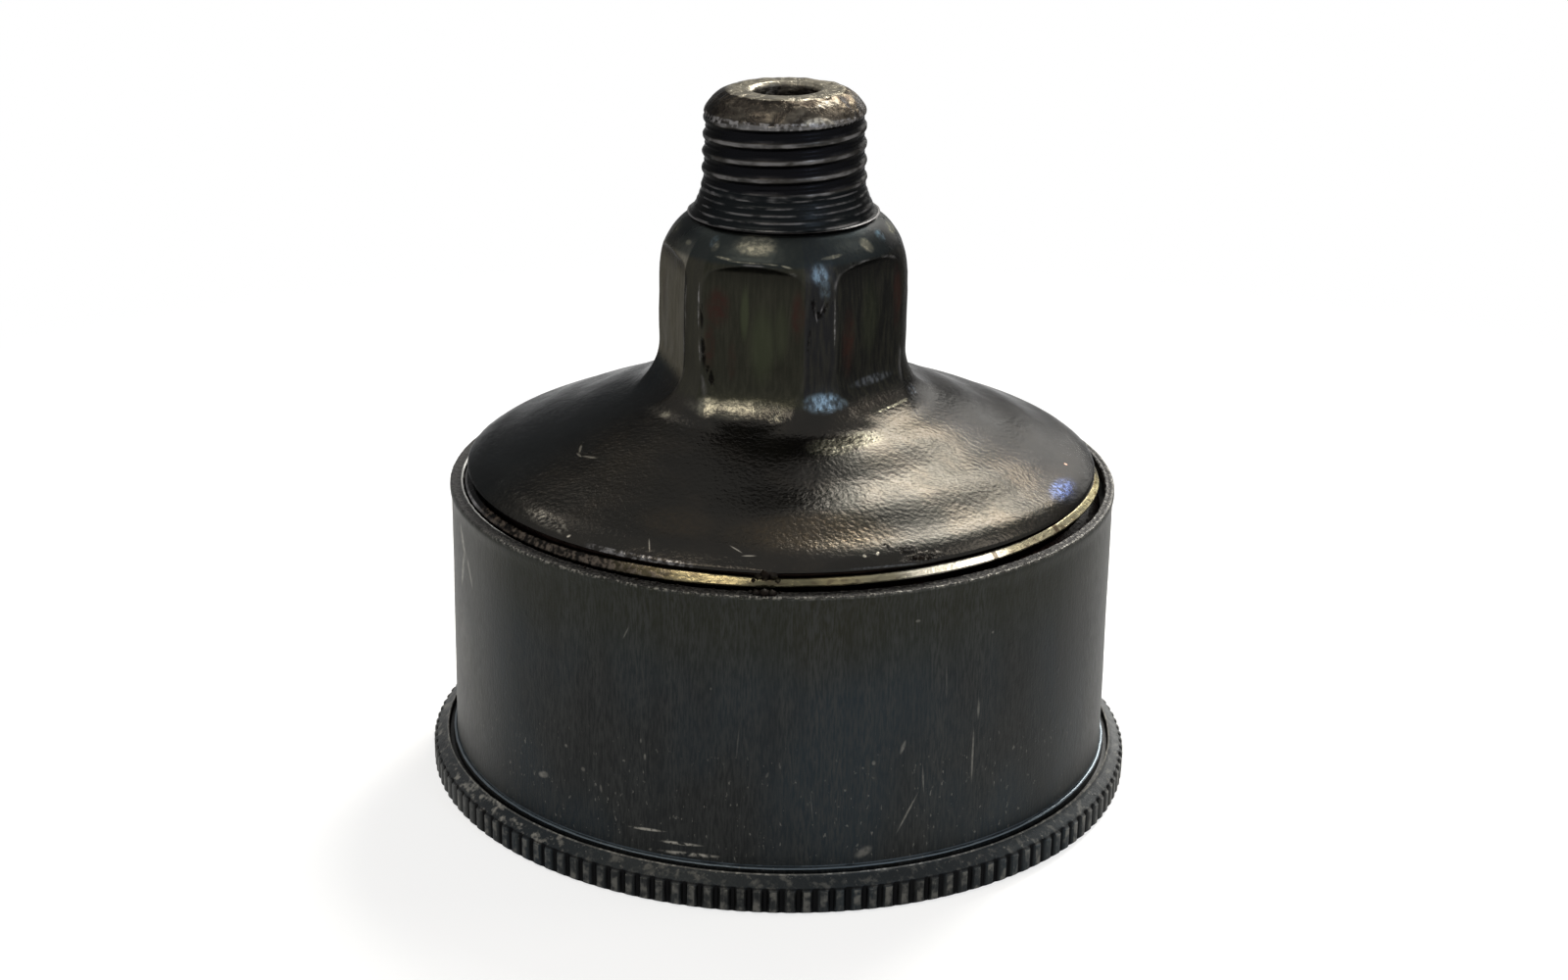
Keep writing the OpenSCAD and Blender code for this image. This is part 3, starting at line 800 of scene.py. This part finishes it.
def makeNeckMaterial():
    # the neck, its foot and its shoulder
    m = oxideForged
    material, shader, places, colour, specks = startBaseMaterial("blackOxideForgedNeck")
    place, flat, radius, height, turn = places

    # the neck: each face has its own colour, with rust tones, worn edges and pits; the left flat is painted much
    # lighter, a painted reflection
    side = baseShape["neckRadius"]
    laid = unrolled(turn, height, side)
    onNeck = between(height, 34.2, 46.6, 0.8)
    # painted reflection: the left flat painted much lighter
    leftFlatPaintedReflection = times(between(height, 35.6, 44.8, 1.4), between(turn, -94, -39, 3))
    colour = tint(colour, "#625f57", leftFlatPaintedReflection)
    for low, high, code in (
            (-38, -26, "#2c2b26"), (-26, 23, "#24241e"), (23, 37, "#1e1e1f"), (37, 84, "#1a1a19"),
            (84, 96, "#2c2b27"), (96, 143, "#24231e"), (-157, -143, "#2d2c26"), (-143, -97, "#2a2925")):
        colour = tint(colour, code, onNeck, between(turn, low, high, 1.2))
    streaks = patches(place, 0.3, 0.35, 0.75, stretch=(1, 1, 0.12), seed=4)
    colour = tint(colour, "#34332b", onNeck, streaks, 0.45)
    blotches = patches(place, 0.8, 0.4, 0.62, detail=4, seed=8)
    onFlat, onEdge = (addNode(place.id_data, "Attribute", attribute_name=name).outputs["Fac"]
                      for name in ("neckFlat", "neckEdge"))
    rust = onSide(laid, side, [
        (-19, 41.2, 2.6, 4, 0.9), (-22.5, 38, 1.2, 5, 0.6), (19.5, 41, 1.4, 5, 0.8), (45, 38.5, 2, 7, 0.8),
        (-12, 37, 1, 4, 0.4), (80, 41, 1.4, 7, 0.7), (117, 40, 2, 5, 0.7), (-74, 40.5, 1.6, 5, 0.3),
        (166, 38, 2.4, 5, 0.7), (-122, 41, 2, 4, 0.6)])
    colour = tint(colour, m["maroon"], rust, blend(0.45, 1, blotches))
    green = onSide(laid, side, [
        (-6, 40.8, 1, 5.5, 0.8), (3, 38.4, 3, 8, 0.6), (12, 39.5, 1.6, 6, 0.4), (60, 40, 3, 8, 0.25)])
    colour = tint(colour, m["green"], green, onNeck, 0.9)
    colour = tint(colour, "#121110", onFlat, rise(height, 42.4, 44.4), 0.5)
    colour = tint(colour, "#1e2325", between(height, 44.9, 46.9, 0.5), 0.7)

    # painted highlights, pale painted sheens on the shoulder, the land, the foot of the neck and the dome round it
    sheen = onSide(laid, side, [
        (-2, 46.1, 5, 1.8, 0.44), (37, 45.25, 2.4, 0.34, 0.7, 4), (-17, 45.05, 2.2, 0.22, 0.8, -4),
        (-6, 44.92, 3.6, 0.16, 0.7), (6, 44.9, 1.8, 0.16, 0.6, -3), (14, 44.75, 1.2, 0.2, 0.7, -12),
        (-24.5, 45.7, 1, 0.9, 0.3), (60, 45.6, 1.8, 1.2, 0.6, -20), (-44, 45.5, 1.2, 0.5, 0.3),
        (95, 45.8, 4, 1.2, 0.4), (-70, 45.8, 4, 1.2, 0.3), (150, 45.8, 5, 1.4, 0.4), (-140, 45.8, 5, 1.4, 0.4)])
    foot = largest(onSide(laid, side, [
        (-20, 33.45, 2.6, 1.6, 0.8, -6), (-9, 33.6, 2.6, 1.2, 0.65), (1, 33.6, 3.4, 1.3, 0.85, -4),
        (9.5, 33.45, 2.2, 1.6, 0.7, -8), (-8, 33.4, 9.6, 1.5, 0.4)]),
                   onTop(flat, [(-36.5, 12, 1.3, 0.8, 0.4, -36)]))
    skirtPaintedHighlight = onTop(flat, [(40, 13.2, 5, 2.6, 0.9, 40)])
    leftSkirtPaintedHighlight = onTop(flat, [(28, 13.6, 4.6, 2.4, 1, 27)])
    crease = onTop(flat, [(64.1, 11, 4.9, 0.26, 0.5, 62), (72, 11.1, 2, 0.3, 0.6, 66)])
    slanted = addNode(place.id_data, "Mapping", {0: laid}, {2: (0, 0, math.radians(-28))}).outputs[0]
    comb = patches(slanted, 0.28, 0.42, 0.62, stretch=(1, 0.28, 1), seed=12)
    comb = largest(times(comb, rise(turn, -6, 4)), times(rise(turn, 4, -6), 0.75))
    footSpecks = patches(place, 0.34, 0.4, 0.62, detail=4, seed=15)
    paintedHighlights = largest(times(sheen, blend(0.35, 1, specks)),
                     times(foot, blend(0.2, 1, comb), blend(0.4, 1, footSpecks)),
                     times(crease, blend(0.4, 1, specks)))
    # painted highlights, broken up by specks and by the comb of tool marks
    colour = tint(colour, m["beigeSheen"], paintedHighlights, 0.72)
    # painted highlights on the dome round the neck's foot
    colour = tint(colour, "#45433b", skirtPaintedHighlight, blend(0.4, 0.9, footSpecks))
    colour = tint(colour, m["beigeSheen"], leftSkirtPaintedHighlight, blend(0.2, 0.7, footSpecks))
    # painted reflection of a cool window: blue streaks on the right land, the shoulder and the foot
    paintedBlueReflection = onSide(laid, side, [
        (29.5, 44.1, 1.8, 2, 0.5, 8), (31.5, 43, 1.2, 2.2, 0.25), (75, 45.9, 1.6, 1.2, 0.3), (-27, 46, 1.2, 1, 0.15),
        (30.5, 34.1, 3.6, 1.8, 0.8), (38, 33.9, 1.8, 1, 0.4)])
    blueStreaks = patches(place, 0.36, 0.38, 0.62, detail=4, stretch=(1, 1, 0.5), seed=27)
    blueStreaks = blend(0.15, 1, blueStreaks)
    colour = tint(colour, m["paintedBlueReflection"], paintedBlueReflection, blueStreaks, 0.8)
    # painted sheen: grey-blue on the right flat's foot and a small patch further round
    footPaintedSheen = onSide(laid, side, [(61, 34.9, 6, 0.9, 0.5), (84, 33.2, 1.6, 1, 0.6)])
    colour = tint(colour, "#5d6166", footPaintedSheen, blueStreaks)
    edgeWear = times(onEdge, blend(0.06, 1, patches(place, 2.2, 0.5, 0.64, stretch=(1, 1, 0.5), seed=21)))
    pits = onSide(laid, side, [
        (-26.2, 40.6, 0.4, 3.4, 0.9), (-25.4, 37.6, 0.5, 3.6, 1, 4), (-21.8, 35.6, 0.6, 2.6, 1, 22),
        (26, 41.8, 0.4, 2.4, 0.9, 8), (28.6, 41, 0.9, 0.8, 0.9, 30), (31.6, 41.4, 0.5, 1.6, 0.9, -24),
        (34.6, 41.9, 0.4, 1.2, 0.8), (24.4, 39, 0.3, 2.4, 0.7, -6), (47, 44.6, 1, 0.3, 0.5, -10)])
    pits = times(pits, patches(place, 0.5, 0.4, 0.56, detail=4, stretch=(1, 1, 0.6), seed=19))
    besidePits = onSide(laid, side, [
        (-28, 41.2, 0.24, 4.4, 0.8), (-27.4, 37.6, 0.2, 3, 0.6, 4), (36.2, 40.4, 0.2, 4.6, 0.9),
        (27.2, 41.2, 0.2, 1.8, 0.6, 10), (30.2, 41.6, 0.2, 1.4, 0.6, -20), (-38.4, 37.4, 0.2, 3.6, 0.9)])
    besidePits = times(besidePits, blend(0.2, 1, specks))
    shoulderLine = times(between(radius, 7.5, 7.72, 0.05), between(height, 46.7, 47, 0.05))

    bare = largest(times(shoulderLine, 0.6), times(edgeWear, 0.4), times(besidePits, 0.7))
    colour = tint(colour, m["crest"], bare)
    finishForged(shader, place, height, colour, specks, pits, [(times(foot, comb), 0.05), (pits, -0.1)])
    return material


def makeDomeMaterial():
    # the dome outside the blend to the neck
    m = oxideForged
    material, shader, places, colour, specks = startBaseMaterial("blackOxideForgedDome")
    place, flat, radius, height, turn = places
    violet = onTop(flat, [(78.5, 24.2, 6.4, 2.4, 0.6, 79)])
    blueStreaks = patches(place, 0.36, 0.38, 0.62, detail=4, stretch=(1, 1, 0.5), seed=27)
    colour = tint(colour, m["violet"], violet, blend(0.35, 1, blueStreaks), 0.8)
    brown = onTop(flat, [(18, 22.2, 16, 5, 0.6, 18), (-8, 22, 8, 4, 0.3, -8)])
    colour = tint(colour, "#3b342a", brown, blend(0.5, 1, specks))
    fibres = onTop(flat, [
        (-48, 18.1, 1.6, 0.3, 0.4, -80), (-45.6, 18.6, 1.2, 0.26, 0.35, -50), (-42, 18.3, 2, 0.3, 0.4, -26),
        (-10.7, 24.5, 1.4, 0.13, 0.8, 107), (4.8, 24, 1.4, 0.14, 0.8, -25), (7.2, 24.5, 1.3, 0.14, 0.8, 10),
        (-26.5, 25.25, 0.4, 0.3, 1), (27, 24.7, 0.4, 0.3, 0.9), (29.4, 24.6, 0.3, 0.44, 0.9)])
    redDot = onTop(flat, [(89.6, 23.3, 0.4, 0.4, 0.3)])
    roughPatch = onTop(flat, [(-33.5, 24.7, 6.4, 1.4, 1, -35), (-29.5, 24.9, 2.4, 1, 1, -32)])
    roughPatch = times(roughPatch, patches(place, 0.24, 0.4, 0.66, detail=5, stretch=(0.6, 1, 1), seed=14))
    edgeLine = times(between(radius, 25.3, 25.6, 0.05), between(turn, -20, -4, 3), specks)
    crumbs = onTop(flat, [(35, 24.6, 1.8, 1, 1, 35), (37, 25.2, 4.4, 0.7, 1, 37), (31.5, 24, 0.6, 0.5, 0.8)])
    crumbs = times(crumbs, patches(place, 0.4, 0.42, 0.56, seed=33))
    colour = tint(colour, m["crest"], edgeLine, 0.5)
    colour = tint(colour, m["bare"], largest(times(roughPatch, 0.3), times(fibres, 0.7)))
    colour = tint(colour, "#a5887c", redDot)
    finishForged(shader, place, height, colour, specks, crumbs, [(crumbs, 0.12)])
    return material


def makeTurnedMaterial():
    # the pipe stub
    m = oxideForged
    material, shader, places, colour, specks = startBaseMaterial("blackOxideTurnedSteel")
    place, flat, radius, height, turn = places

    # pipe thread: crests painted pale, partly rubbed bare and partly a painted highlight; grooves painted black as
    # painted shade; nose brushed brown-grey
    t = pipeThread
    crestLine = chain("ADD", (times(height, -t["taper"]), t["gaugeRadius"] + t["gaugeHeight"] * t["taper"]))
    below = chain("SUBTRACT", (crestLine, radius))
    onThread = between(height, 49.2, 54.85, 0.6)
    arcs = patches(place, 2.6, 0.38, 0.62, stretch=(1, 1, 2), seed=23)
    # crests painted pale: partly rubbed bare, partly a painted highlight
    crest = times(rise(below, 0.055, 0.015), onThread, blend(0.1, 1, arcs))
    # painted shade in the thread's grooves
    threadGrooveShade = times(rise(below, 0.03, 0.11), onThread)
    colour = tint(colour, m["grooveShadeBlack"], threadGrooveShade, 0.9)
    onCone = between(height, 46.95, 49.4, 0.3)
    colour = tint(colour, "#0e1113", onCone, 0.9)
    # the lines that the turning tool left on the cone
    toolLevel = chain("SUBTRACT", (chain("SUBTRACT", (height, t["toolHeight"])), times(turn, t["toolPitch"] / 360)))
    toolLine = chain("PINGPONG", (toolLevel, t["toolPitch"] / 2))
    toolLine = times(rise(toolLine, 0.1, 0.04), onCone)
    coneBits = times(toolLine, patches(place, 2.2, 0.4, 0.62, stretch=(1, 1, 3), seed=29))
    onNose = between(height, 54.9, 57, 0.12)
    brushed = patches(place, 0.9, 0.35, 0.75, detail=4, stretch=(1, 1, 2.5), seed=7)
    mottled = patches(place, 0.9, 0.44, 0.6, detail=5, seed=37)
    colour = tint(colour, "#37332e", onNose, 0.9)
    colour = tint(colour, "#6a655b", onNose, brushed, 0.45)
    colour = tint(colour, "#191614", onNose, mottled, 0.65)
    # painted shade: the left side of the nose darker
    colour = tint(colour, "#1d1a18", onNose, between(turn, -120, 0, 25), 0.45)
    # painted highlights on the nose, mostly at its right
    nosePaintedHighlight = onTop(flat, [
        (50, 5.3, 3, 0.8, 0.3, 50), (36, 6.2, 4, 0.32, 0.7, 36), (-42, 4.6, 2.6, 0.4, 0.6, -42),
        (-62, 4.4, 0.8, 0.5, 0.9, -62)])
    nosePaintedHighlight = times(nosePaintedHighlight, onNose, blend(0.25, 1, patches(place, 0.4, 0.42, 0.6, detail=4, seed=39)))
    # painted light on the inside wall of the grease hole, at the left
    boreWallPaintedLight = times(between(radius, 2.3, 2.72, 0.04), between(height, 54.9, 56.5, 0.3),
                     between(turn, -120, -40, 20), blend(0.2, 1, brushed))
    noseEdge = times(between(height, 54.6, 55, 0.12), rise(below, 0.2, 0.1), specks)
    annulus = times(between(radius, 2.7, 4.6, 0.15), onNose)
    colour = tint(colour, "#7d796e", annulus, 0.6)
    bare = largest(times(crest, 0.45), times(noseEdge, 0.7), times(coneBits, 0.3))
    colour = tint(colour, m["crest"], bare)
    # painted highlights on the nose and painted light on the wall inside the grease hole
    colour = tint(colour, m["bare"], largest(nosePaintedHighlight, times(boreWallPaintedLight, 0.8)))
    rough = blend(0.28, 0.4, patches(place, 1.2, 0.35, 0.7, detail=4, seed=11))
    fine = patches(place, 0.5, 0.2, 0.8, seed=2)
    finish(shader, colour, rough, [(fine, 0.01), (times(onNose, brushed), 0.015), (times(onNose, mottled), -0.03)])
    return material


def makeRimMaterial():
    # the threaded rim
    m = oxideForged
    material, shader, places, colour, specks = startBaseMaterial("bareThreadSteel")
    place, _, radius, height, turn = places

    # the bare top turn of the rim's thread: khaki at the front, cream where it climbs to the right, then beige; the
    # cream is a painted reflection of the lamps behind at the right
    onRidge = times(between(radius, 25.46, 26.2, 0.05), between(height, 24.8, 26.02, 0.06))
    onRidge = times(onRidge, between(turn, -10, 96, 9))
    ridgeColour = tint(m["khaki"], "#565240", between(turn, 9, 17, 5))
    ridgeColour = tint(ridgeColour, m["beige"], rise(turn, 20, 30))
    # painted reflection: the cream part of the band
    ridgeColour = tint(ridgeColour, m["creamPaintedReflection"], between(turn, 36, 50.5, 5))
    ridgeDirt = patches(place, 0.8, 0.5, 0.62, detail=4, stretch=(1, 1, 3), seed=6)
    ridgeDirt = times(ridgeDirt, blend(0.55, 0.1, between(turn, 36, 50, 4)))
    breaks = largest(between(turn, 50.6, 51.2, 0.5), between(turn, 67, 67.7, 0.5))
    ridgeColour = tint(ridgeColour, "#3a2f26", largest(ridgeDirt, times(breaks, 0.8)))
    # painted shade: the outer face of the band darkened at the front
    outerHalfPaintedShade = times(between(radius, 25.74, 26.2, 0.06), between(turn, -14, 33, 6))
    ridgeColour = tint(ridgeColour, "#3a372c", outerHalfPaintedShade, 0.3)
    colour = addNode(place.id_data, "Mix", {0: onRidge, 6: colour, 7: ridgeColour}, data_type="RGBA").outputs[2]
    # painted shade: the gap between the rim and the cap's lip, and the thread under the band, painted nearly black
    gapPaintedShade = times(between(radius, 24.8, 25.44, 0.03), between(height, 19, 26.1, 0.05))
    underBandPaintedShade = times(between(radius, 24.8, 26.2, 0.03), rise(height, 24.8, 24.7))
    colour = tint(colour, "#150b08", largest(times(gapPaintedShade, 0.85), underBandPaintedShade))
    # further to the left it has sunk below the lip: a thin bright crest beside a gap painted dark, a painted shade
    sunk = times(rise(turn, -40, -52), between(height, 24, 25.9, 0.1))
    # painted shade in the gap beside the sunk crest
    colour = tint(colour, "#0a0908", sunk, between(radius, 25.2, 25.7, 0.04))
    sunkCrest = times(sunk, between(radius, 25.82, 26.1, 0.06), blend(0.45, 1, specks), 0.9)
    colour = tint(colour, m["crest"], sunkCrest)
    # between the two, a strip of the thread is painted nearly black, with pale specks
    strip = times(between(turn, -50, -9, 7), between(radius, 25.45, 26.1, 0.05), between(height, 24.9, 26.02, 0.06))
    colour = tint(colour, "#0d0b0a", strip, 0.75)
    colour = tint(colour, "#5a524a", strip, specks, 0.6)
    grease = addNode(place.id_data, "Attribute", attribute_name="grease").outputs["Fac"]
    colour = greased(colour, grease, specks)
    rough = blend(0.3, 0.26, onRidge)
    rough = blend(rough, 0.6, grease)
    finish(shader, colour, rough, [(specks, 0.012), (times(grease, specks), 0.04)])
    return material


capPiece.data.materials.append(makeCapMaterial())
for material in (makeNeckMaterial(), makeDomeMaterial(), makeTurnedMaterial(), makeRimMaterial()):
    basePiece.data.materials.append(material)

# where each finish of the base lies, by the middle of each face
finishBounds = dict(stubFrom=46.93, boreInside=2.8, rimBelow=26.1, rimOutside=24.5, domeBelow=33, domeOutside=15)
b = finishBounds
centres = np.empty(len(basePiece.data.polygons) * 3)
basePiece.data.polygons.foreach_get("center", centres)
centres = centres.reshape(-1, 3) / mm
across, up = np.hypot(centres[:, 0], centres[:, 1]), centres[:, 2]
onStub = (up > b["stubFrom"]) | (across < b["boreInside"])
onRim = (up < b["rimBelow"]) & (across > b["rimOutside"])
onDome = (up < b["domeBelow"]) & (across > b["domeOutside"])
whichFinish = np.select([onStub, onRim, onDome], [2, 3, 1], 0).astype(np.int32)
basePiece.data.polygons.foreach_set("material_index", whichFinish)
for name, piece in (("cap", capPiece), ("base", basePiece)):
    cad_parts[name].data.materials.clear()
    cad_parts[name].data.materials.append(piece.data.materials[0])
print("materials made")


# The camera stands a little to the right of the front flat
view = dict(lens=56.53, shift=(0.1141, 0.0441), turn=12.2, distance=207, elevation=22.02, roll=-0.74,
            target=(-14.54, 0, 16.79))


def makeCamera():
    data = bpy.data.cameras.new("camera")
    data.sensor_width = 36
    data.lens = view["lens"]
    data.shift_x, data.shift_y = view["shift"]
    data.clip_start, data.clip_end = 0.01, 50
    camera = bpy.data.objects.new("camera", data)
    around = Quaternion((0, 0, 1), math.radians(view["turn"]))
    up = math.radians(view["elevation"])
    target = Vector(view["target"])
    stand = Vector((0, -view["distance"] * math.cos(up), target.z + view["distance"] * math.sin(up)))
    look = (target - stand).to_track_quat("-Z", "Y")
    camera.rotation_mode = "QUATERNION"
    camera.rotation_quaternion = around @ look @ Quaternion((0, 0, 1), math.radians(view["roll"]))
    camera.location = (around @ stand) * mm
    bpy.context.scene.collection.objects.link(camera)
    bpy.context.scene.camera = camera


# Soft panels round the object: direction from the camera's side (to its right), height angle, distance and size
# in metres, roll about its own middle, strength in watts and colour
lampCentre = Vector((0, 0, 30 * mm))
lamps = [
    dict(name="softboxBack", side=151.7, up=33, away=0.5, size=(0.20, 0.54), roll=0, watts=4.6, colour="#fffcf6"),
    dict(name="softboxCore", side=153, up=42, away=0.49, size=(0.26, 0.088), roll=53, watts=4.4, colour="#fffcf6"),
    dict(name="panelOverhead", side=-45, up=60, away=0.5, size=(0.22, 0.12), roll=0, watts=0.7, colour="#fff4e2"),
    dict(name="windowRight", side=40, up=27, away=0.4, size=(0.09, 0.14), roll=0, watts=0.26, colour="#d6e4fa"),
    dict(name="panelRightHigh", side=98, up=45, away=0.5, size=(0.12, 0.12), roll=0, watts=0.36, colour="#fff6ea"),
    dict(name="panelBackLeft", side=-134, up=44, away=0.5, size=(0.07, 0.07), roll=0, watts=0.1, colour="#fff8f0"),
]


def makeLamps():
    for lamp in lamps:
        data = bpy.data.lights.new(lamp["name"], "AREA")
        data.shape = "RECTANGLE"
        data.size, data.size_y = lamp["size"]
        data.energy = lamp["watts"]
        data.color = linearColour(lamp["colour"])[:3]
        light = bpy.data.objects.new(lamp["name"], data)
        a, e = math.radians(lamp["side"] + view["turn"]), math.radians(lamp["up"])
        way = Vector((math.sin(a) * math.cos(e), -math.cos(a) * math.cos(e), math.sin(e)))
        light.location = lampCentre + way * lamp["away"]
        light.rotation_mode = "QUATERNION"
        roll = Quaternion((0, 0, 1), math.radians(lamp["roll"]))
        light.rotation_quaternion = (-way).to_track_quat("-Z", "Y") @ roll
        bpy.context.scene.collection.objects.link(light)


# The floor's size and the distances over which it turns from paper with a shadow to plain white, in metres
surroundings = dict(floorRadius=8, floorBelow=0.0001, shadeFrom=0.03, whiteFrom=0.16, leastWhite=0.72, roomLight=0.5)


def makeSurroundings():
    # a pale floor that keeps the object's shadow near it, and a white backdrop that the metal mirrors as well
    s = surroundings
    mesh = bpy.data.meshes.new("floor")
    corners = np.linspace(0, 2 * math.pi, 65)[:-1]
    ring = [(s["floorRadius"] * math.cos(a), s["floorRadius"] * math.sin(a), -s["floorBelow"]) for a in corners]
    mesh.from_pydata(ring, [], [list(range(64))])
    floor = bpy.data.objects.new("floor", mesh)
    bpy.context.scene.collection.objects.link(floor)
    material, tree, shader = newMaterial("paperFloor")
    shader.inputs["Base Color"].default_value = linearColour("#f2f2f0")
    shader.inputs["Roughness"].default_value = 0.9
    shader.inputs["Specular IOR Level"].default_value = 0.2
    path = addNode(tree, "LightPath")
    seen = largest(*(path.outputs[f"Is {kind} Ray"] for kind in ("Camera", "Glossy", "Transmission")))
    where = addNode(tree, "TexCoord").outputs["Object"]
    far = addNode(tree, "VectorMath", {0: where}, operation="LENGTH").outputs["Value"]
    fade = addNode(tree, "MapRange", {0: far}, {1: s["shadeFrom"], 2: s["whiteFrom"], 3: s["leastWhite"], 4: 1},
                   interpolation_type="SMOOTHSTEP").outputs[0]
    white = addNode(tree, "Emission", values={"Color": (1, 1, 1, 1), "Strength": 1})
    mix = addNode(tree, "MixShader", {0: times(seen, fade), 1: shader.outputs[0], 2: white.outputs[0]})
    output = [n for n in tree.nodes if n.bl_idname == "ShaderNodeOutputMaterial"][0]
    tree.links.new(mix.outputs[0], output.inputs["Surface"])
    mesh.materials.append(material)

    world = bpy.data.worlds.new("softRoom")
    bpy.context.scene.world = world
    world.use_nodes = True
    tree = world.node_tree
    tree.nodes.clear()
    path = addNode(tree, "LightPath")
    seen = largest(*(path.outputs[f"Is {kind} Ray"] for kind in ("Camera", "Glossy", "Transmission")))
    room = addNode(tree, "Background", values={"Color": linearColour("#f4f5f6"), "Strength": s["roomLight"]})
    white = addNode(tree, "Background", values={"Color": (1, 1, 1, 1), "Strength": 1})
    mix = addNode(tree, "MixShader", {0: seen, 1: room.outputs[0], 2: white.outputs[0]})
    addNode(tree, "OutputWorld", {"Surface": mix.outputs[0]})


makeCamera()
makeLamps()
makeSurroundings()
bpy.context.scene.view_settings.view_transform = "Standard"
print("camera, lamps and surroundings made")
